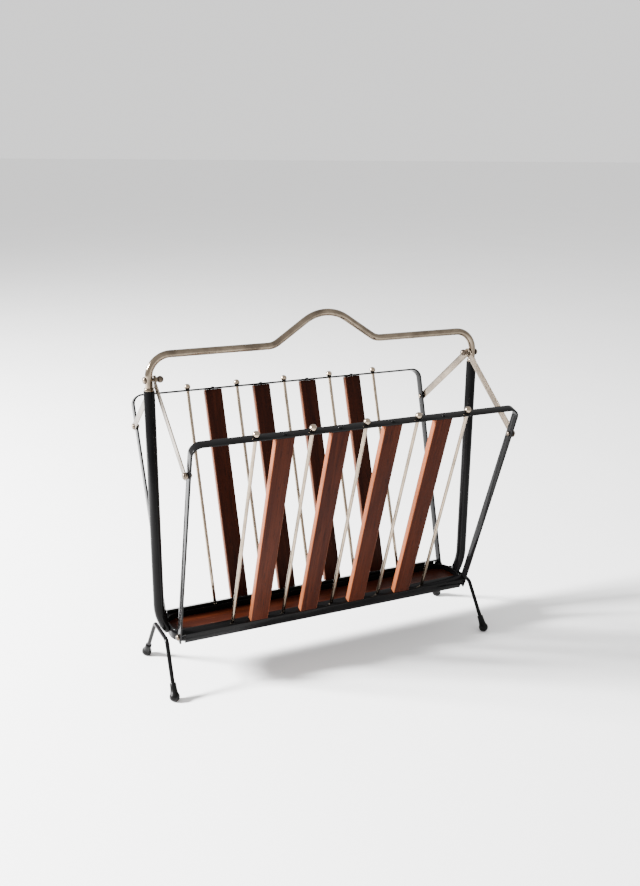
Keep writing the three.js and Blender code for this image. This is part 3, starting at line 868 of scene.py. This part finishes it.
# %% Make the rails
RAIL_TOP_T, RAIL_BOTTOM_T, RAIL_HALF, RAIL_FRONT_HALF = 7.3, -5.4, 184.4, 180.6
first = len(made)
clear_selection()
bpy.ops.mesh.primitive_plane_add(size=2 * MM, location=(0, 0, 0))
rail = begin("back_rail_angle")
bpy.ops.mesh.select_all(action="SELECT")
bpy.ops.transform.resize(value=(RAIL_HALF, BAR_DEPTH / 2, 1))
bpy.ops.transform.translate(value=millimetres(0, 0, RAIL_TOP_T))
for sign in SIDES.values():
    bpy.ops.mesh.select_all(action="SELECT")
    cut = millimetres(sign * RAIL_FRONT_HALF, 0, 0)
    bpy.ops.mesh.bisect(plane_co=cut, plane_no=(1, 0, 0))
edge_y = BAR_DEPTH / 2 - 0.1
pick(rail, "EDGE", lambda a, b: a.y > edge_y and b.y > edge_y and abs(a.x + b.x) < 1)
drop = millimetres(0, 0, RAIL_BOTTOM_T - RAIL_TOP_T)
bpy.ops.mesh.extrude_region_move(TRANSFORM_OT_translate={"value": drop})
close_up()
below = -1 if rail.data.polygons[0].normal.z > 0 else 1
modify(rail, "SOLIDIFY", thickness=BAR_THICKNESS * MM, offset=below, use_even_offset=True)
ease_edges(rail, 0.28)
smooth(rail)
for wing, piece in (("front", opposite(rail, "front_rail_angle")), ("back", rail)):
    on_wing(piece, wing)
    hand_over(piece, LACQUER, f"{wing}_wing", f"{wing}_wing_rail")
report("rails", first)

# %% [markdown]
# ## Slats
# Each slat is a planed strip of hardwood, 21 by 8 mm. A cube is stretched to its size, and
# its long edges are rounded a good millimetre, as a planer and sandpaper leave them. The
# ends are only eased. One slat is made and copied eight times. Every other copy is turned
# back to front, as a joiner would pick them up at random.

# %% Make the slats
SLAT_FRONT_U, SLAT_BACK_U = 4.8, -3.2
slat_low = RAIL_TOP_T + GAP
slat_high = BAR_TOP_T - BAR_THICKNESS - GAP
slat_length = slat_high - slat_low
slat_depth = SLAT_FRONT_U - SLAT_BACK_U


def plain_slat(name):
    clear_selection()
    bpy.ops.mesh.primitive_cube_add(size=1 * MM, location=(0, 0, 0))
    piece = begin(name)
    bpy.ops.mesh.select_all(action="SELECT")
    bpy.ops.transform.resize(value=(SLAT_WIDTH, slat_depth, slat_length))
    pick(piece, "EDGE", lambda a, b: abs(a.z - b.z) > 100)
    bpy.ops.mesh.bevel(affect="EDGES", offset=1.1 * MM, segments=4)
    pick(piece, "FACE", lambda c, n: abs(n.z) > 0.9)
    bpy.ops.mesh.bevel(affect="EDGES", offset=0.35 * MM, segments=2)
    close_up()
    smooth(piece)
    return piece


first = len(made)
slat_pattern = plain_slat("slat_pattern")
for wing, outward in WINGS.items():
    for i, x in enumerate(slat_places):
        middle = (x, outward * (SLAT_FRONT_U + SLAT_BACK_U) / 2, (slat_low + slat_high) / 2)
        turned_over = (0, 0, 180 if (i + (wing == "back")) % 2 else 0)
        slat = copy_of(slat_pattern, f"{wing}_wood_slat_{i + 1}", middle, turned_over)
        on_wing(slat, wing)
        hand_over(slat, WOOD[wing], f"{wing}_wing", f"{wing}_slat_{i + 1}")
bpy.data.objects.remove(slat_pattern)
report("slats", first)

# %% [markdown]
# ## Rods with ball ends
# A rod passes down through the top bar into the rail, and its ball rests on the bar. It is
# turned in one piece: a chamfered foot, a long shank, a small fillet and the ball.

# %% Make the rods
ROD_RADIUS, ROD_BOTTOM_T, BALL_RADIUS, BALL_T = 2.0, 4.1, 3.8, 263.3
first = len(made)
rod_pattern = turned(
    "rod_pattern",
    [(0, ROD_BOTTOM_T), (ROD_RADIUS - 0.3, ROD_BOTTOM_T), (ROD_RADIUS, ROD_BOTTOM_T + 0.3)]
    + [(ROD_RADIUS, t) for t in (60, 120, 180, 240, BALL_T - 3.6)]
    + arc(BALL_RADIUS, BALL_T, -55, 90, 14),
    28,
)
smooth(rod_pattern, 50)
for wing in WINGS:
    for i, x in enumerate(rod_places):
        rod = copy_of(rod_pattern, f"{wing}_ball_rod_{i + 1}", (x, 0, 0), (0, 0, 17 * i))
        on_wing(rod, wing)
        hand_over(rod, ROD_PLATE, f"{wing}_wing", f"{wing}_rod_{i + 1}")
bpy.data.objects.remove(rod_pattern)
report("rods", first)

# %% [markdown]
# ## Screws over the slats
# A small round-head screw goes down through the top bar into the end of each slat. The head
# is turned like the other round pieces. A thin block set across it then cuts the slot with
# a boolean, which is the quickest way to saw a groove across a curved face.

# %% Make the screws
first = len(made)
HEAD_RADIUS, HEAD_HEIGHT = 2.3, 1.5
head = [(0, -0.4), (HEAD_RADIUS, -0.4)] + dome(HEAD_RADIUS, 0, HEAD_HEIGHT)
screw_pattern = turned("screw_pattern", head, 28)
cutter_half = 0.28
clear_selection()
bpy.ops.mesh.primitive_cube_add(size=1 * MM, location=(0, 0, 0))
slot_cutter = begin("slot_cutter")
bpy.ops.mesh.select_all(action="SELECT")
bpy.ops.transform.resize(value=(2 * cutter_half, 3 * HEAD_RADIUS, 1.6))
bpy.ops.transform.translate(value=millimetres(0, 0, HEAD_HEIGHT))
bpy.ops.object.mode_set(mode="OBJECT")
modify(screw_pattern, "BOOLEAN", operation="DIFFERENCE", object=slot_cutter, solver="EXACT")
bpy.data.objects.remove(slot_cutter)
smooth(screw_pattern, 35)
for wing, outward in WINGS.items():
    for i, x in enumerate(slat_places):
        spot = (x, outward * 0.8, BAR_TOP_T)
        screw = copy_of(screw_pattern, f"{wing}_slat_screw_{i + 1}", spot, (0, 0, 35 + 47 * i))
        on_wing(screw, wing)
        hand_over(screw, LACQUER, f"{wing}_wing")
bpy.data.objects.remove(screw_pattern)
report("screws", first)

# %% [markdown]
# ## Links
# Four flat strips with round ends hang the wings from the handle. A plane the length of
# the strip has its corners rounded by a vertex bevel, and Solidify and a fine edge bevel
# make it sheet metal. The strip is drawn in the YZ plane, hanging down from its pivot, and
# an eye is drilled at each end for the bolt and the rivet.

# %% Make the links
PIVOT_Z, RIVET_T = 348.0, 223.5
LINK_HALF_WIDTH, LINK_THICKNESS, LINK_EYE_RADIUS = 4.6, 1.2, 2.2
LINK_X = {"front": 194.6, "back": 193.1}
tilt = math.radians(WING_TILT)
rivet_y = HINGE_Y + RIVET_T * math.sin(tilt)
rivet_z = HINGE_Z + RIVET_T * math.cos(tilt)
link_length = math.hypot(rivet_y, PIVOT_Z - rivet_z)
link_angle = math.degrees(math.atan2(rivet_y, PIVOT_Z - rivet_z))

first = len(made)
clear_selection()
bpy.ops.mesh.primitive_plane_add(size=2 * MM, location=(0, 0, 0), rotation=(0, math.pi / 2, 0))
bpy.ops.object.transform_apply(location=True, rotation=True, scale=True)
link_pattern = begin("link_pattern")
bpy.ops.mesh.select_all(action="SELECT")
bpy.ops.transform.resize(value=(1, LINK_HALF_WIDTH, link_length / 2 + LINK_HALF_WIDTH))
bpy.ops.transform.translate(value=millimetres(0, 0, -link_length / 2))
bpy.ops.mesh.bevel(affect="VERTICES", offset=(LINK_HALF_WIDTH - 0.02) * MM, segments=12)
close_up()
modify(link_pattern, "SOLIDIFY", thickness=LINK_THICKNESS * MM, offset=0)
ease_edges(link_pattern, 0.25)
bore(link_pattern, LINK_EYE_RADIUS, (0, 0, 0), (0, 0, -link_length))
smooth(link_pattern)
for wing, outward in WINGS.items():
    for side, sign in SIDES.items():
        spot = (sign * LINK_X[wing], 0, PIVOT_Z)
        swing = (outward * link_angle, 0, 0)
        link = copy_of(link_pattern, f"{wing}_{side}_link_strip", spot, swing)
        hand_over(link, LINK_PLATE, f"{wing}_{side}_link", f"{wing}_{side}_link")
bpy.data.objects.remove(link_pattern)
print("link length", round(link_length, 1), "mm at", round(link_angle, 1), "degrees")
report("links", first)

# %% [markdown]
# ## Rivets, spacers, pivots and pins
# Small turned pieces hold the moving parts. All lie along X, so each is turned upright and
# then laid on its side. A rivet has a low dome outside the link and a smaller one inside
# the bar. The pivot bolt ends in a round nut, which is the dark ball beside each leg.
# Each kind is made once for the right side, and a half turn carries its copy to the left.

# %% A shank with a head at each end, lying along X
def along_x(name, outline, steps=28):
    """Turns the outline and lays it down, so that its heights become places along +X."""
    piece = turned(name, outline, steps)
    place(piece, rotation=(0, 90, 0))
    smooth(piece, 45)
    return piece


def headed_shank(name, inner, outer, shank, inner_head, outer_head):
    """Heads are (radius, height). Inner and outer are the places of their flat faces."""
    inner_dome = dome(inner_head[0], inner, inner_head[1])
    tail = [(radius, 2 * inner - height) for radius, height in reversed(inner_dome)]
    outer_dome = dome(outer_head[0], outer, outer_head[1])
    return along_x(name, tail + [(shank, inner), (shank, outer)] + outer_dome)


print("fastener helpers ready")

# %% Make the rivets and spacers
RIVET_RADIUS, RIVET_TAIL, RIVET_HEAD = 1.5, (2.7, 1.8), (3.5, 1.9)
SPACER_BORE, SPACER_EDGE, SPACER_RADIUS = 2, 3.2, 3.5
first = len(made)
bar_at_rivet = bar_outer_x(RIVET_T)
rivet_inner = bar_at_rivet - BAR_THICKNESS - 2 * GAP
for wing in WINGS:
    rivet_outer = LINK_X[wing] + LINK_THICKNESS / 2 + GAP
    right = headed_shank(
        f"{wing}_right_rivet", rivet_inner, rivet_outer, RIVET_RADIUS, RIVET_TAIL, RIVET_HEAD
    )
    place(right, (0, 0, RIVET_T))
    for side, piece in (("left", opposite(right, f"{wing}_left_rivet")), ("right", right)):
        on_wing(piece, wing)
        hand_over(piece, FASTENER_PLATE, f"{wing}_wing", f"{wing}_{side}_link_rivet")

low = bar_at_rivet + 1.5 * GAP
high = LINK_X["front"] - LINK_THICKNESS / 2 - GAP
ring = [
    (SPACER_BORE, low),
    (SPACER_EDGE, low),
    (SPACER_RADIUS, low + GAP),
    (SPACER_RADIUS, high - GAP),
    (SPACER_EDGE, high),
    (SPACER_BORE, high),
    (SPACER_BORE, low),
]
spacer = place(along_x("right_spacer_ring", ring), (0, 0, RIVET_T))
for side, piece in (("left", opposite(spacer, "left_spacer_ring")), ("right", spacer)):
    on_wing(piece, "front")
    hand_over(piece, FASTENER_PLATE, "front_wing", f"front_{side}_spacer")
report("rivets and spacers", first)

# %% Make the hinge pins
PIN_RADIUS, PIN_INNER, PIN_TAIL, PIN_HEAD = 1.6, 180.9, (2.5, 1.2), (3.6, 2.6)
first = len(made)
pin_outer = BAR_HALF_LOW + 2 * GAP
pin_pattern = headed_shank("pin_pattern", PIN_INNER, pin_outer, PIN_RADIUS, PIN_TAIL, PIN_HEAD)
for wing, outward in WINGS.items():
    for side, sign in SIDES.items():
        spot = (0, outward * HINGE_Y, HINGE_Z)
        half_turn = (0, 0, 90 - sign * 90)
        pin = copy_of(pin_pattern, f"{wing}_{side}_pin", spot, half_turn)
        hand_over(pin, FASTENER_PLATE, "root", f"{wing}_{side}_hinge_pin")
bpy.data.objects.remove(pin_pattern)
report("hinge pins", first)

# %% Make the pivot bolts and ball nuts
BOLT_RADIUS, BOLT_REACH, BOLT_HEAD_RADIUS, BOLT_HEAD_HEIGHT = 1.8, 3.7, 3.8, 2.5
NUT_RADIUS, NUT_OFFSET, NUT_BORE_RADIUS, NUT_BORE_DEPTH = 3.8, 4.4, 2.2, 4.3
first = len(made)
nut_face = LINK_X["back"] - LINK_THICKNESS / 2 - GAP
nut_middle = nut_face - NUT_OFFSET
bolt_tip = nut_face - BOLT_REACH
bore_end = nut_face - NUT_BORE_DEPTH
bolt_head = POST_X + TUBE_RADIUS + GAP
shaft = [(0, bolt_tip), (BOLT_RADIUS, bolt_tip), (BOLT_RADIUS, bolt_head)]
bolt_dome = dome(BOLT_HEAD_RADIUS, bolt_head, BOLT_HEAD_HEIGHT)
bolt = along_x("right_pivot_screw", shaft + bolt_dome)
ball = arc(NUT_RADIUS, nut_middle, -90, 50, 14)
neck = [(2.85, nut_face - 0.25), (2.7, nut_face), (NUT_BORE_RADIUS, nut_face)]
nut_bore = [(NUT_BORE_RADIUS, bore_end), (0, bore_end)]
nut = along_x("right_ball_nut", ball + neck + nut_bore, 32)
for piece, kind, left_name in ((bolt, "bolt", "left_pivot_screw"), (nut, "nut", "left_ball_nut")):
    place(piece, (0, 0, PIVOT_Z))
    hand_over(opposite(piece, left_name), FASTENER_PLATE, "handle", f"left_pivot_{kind}")
    hand_over(piece, FASTENER_PLATE, "handle", f"right_pivot_{kind}")
report("bolts and nuts", first)

# %% [markdown]
# ## Pieces kept as they are
# The hinge lugs and the straps under the floor are flat cut plate, and their CAD shapes
# already are right. They only need their finish.

# %% Finish the kept nodes
kept = [f"{wing}_{side}_hinge_lug" for wing in WINGS for side in SIDES]
kept += [f"{side}_floor_strap" for side in SIDES]
for name in kept:
    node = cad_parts[name]
    node.data.materials.clear()
    node.data.materials.append(LACQUER)
print("kept", kept)

# %% [markdown]
# ## Floor, light and camera
# The rack stands on a plain pale floor under a pale sky. One strong light stands to the left
# and a little behind, which gives the slats their bright left edges and leaves the faces in
# soft shade. A faint broad one in front keeps the shade open. The camera stands to the left
# and looks down on the rack a little.

# %% Make the floor
def pale_floor():
    clear_selection()
    bpy.ops.mesh.primitive_plane_add(size=2, location=(0, 0, 0))
    piece = begin("pale_floor")
    bpy.ops.mesh.select_all(action="SELECT")
    bpy.ops.transform.resize(value=(60, 60, 1))
    close_up()
    material, nodes, links, shader = new_material("pale_paper")
    here = place_nodes(nodes, links, (1, 1, 1))
    cloud = noise(nodes, links, here, 3, 2)
    tone = blend_colours(nodes, links, cloud, (0.86, 0.86, 0.86), (0.9, 0.9, 0.9))
    links.new(tone, shader.inputs["Base Color"])
    shader.inputs["Roughness"].default_value = 0.9
    shader.inputs["Specular IOR Level"].default_value = 0.1
    piece.data.materials.append(material)
    return piece


pale_floor()
print("floor ready")

# %% Light the scene
def soft_light(name, size, power, location, target):
    data = bpy.data.lights.new(name, "AREA")
    data.size = size
    data.energy = power
    lamp = bpy.data.objects.new(name, data)
    bpy.context.collection.objects.link(lamp)
    lamp.location = location
    aim = Vector(target) - Vector(location)
    lamp.rotation_euler = aim.to_track_quat("-Z", "Y").to_euler()
    return lamp


MIDDLE = (0, 0, 0.2)
soft_light("key_left", 0.5, 800, (-2.4, 0.75, 1.35), MIDDLE)
soft_light("fill_front", 2.5, 6, (0.8, -2.6, 1.6), MIDDLE)

world = bpy.data.worlds.new("pale_room")
world.use_nodes = True
background = world.node_tree.nodes["Background"]
background.inputs["Color"].default_value = (1.0, 0.995, 0.99, 1)
background.inputs["Strength"].default_value = 1.25
bpy.context.scene.world = world

# %% Place the camera
CAMERA_PLACE = (-463.07, -986.37, 577.91)
YAW, PITCH_DOWN, ROLL = -25.53, 17.43, 0.61
LENS, SENSOR, SHIFT_X, SHIFT_Y = 39.945, 36.0, -0.0086, 0.01914

camera_data = bpy.data.cameras.new("camera")
camera_data.sensor_width = SENSOR
camera_data.lens = LENS
camera_data.shift_x = SHIFT_X
camera_data.shift_y = SHIFT_Y
camera_data.clip_end = 100
camera = bpy.data.objects.new("camera", camera_data)
bpy.context.collection.objects.link(camera)
yaw, pitch, roll = (math.radians(a) for a in (YAW, PITCH_DOWN, ROLL))
across = Vector((-math.sin(yaw), math.cos(yaw), 0))
forward = across * math.cos(pitch) - Vector((0, 0, math.sin(pitch)))
level = Vector((math.cos(yaw), math.sin(yaw), 0))
upright = level.cross(forward)
right = level * math.cos(roll) + upright * math.sin(roll)
top = upright * math.cos(roll) - level * math.sin(roll)
turn = Matrix((right, top, -forward)).transposed().to_4x4()
camera.matrix_world = Matrix.Translation(millimetres(*CAMERA_PLACE)) @ turn
bpy.context.scene.camera = camera
print("camera lens", round(camera_data.lens, 1), "mm")

# %% [markdown]
# ## Pieces
# The number of finished pieces is printed.

print("pieces:", len(made))
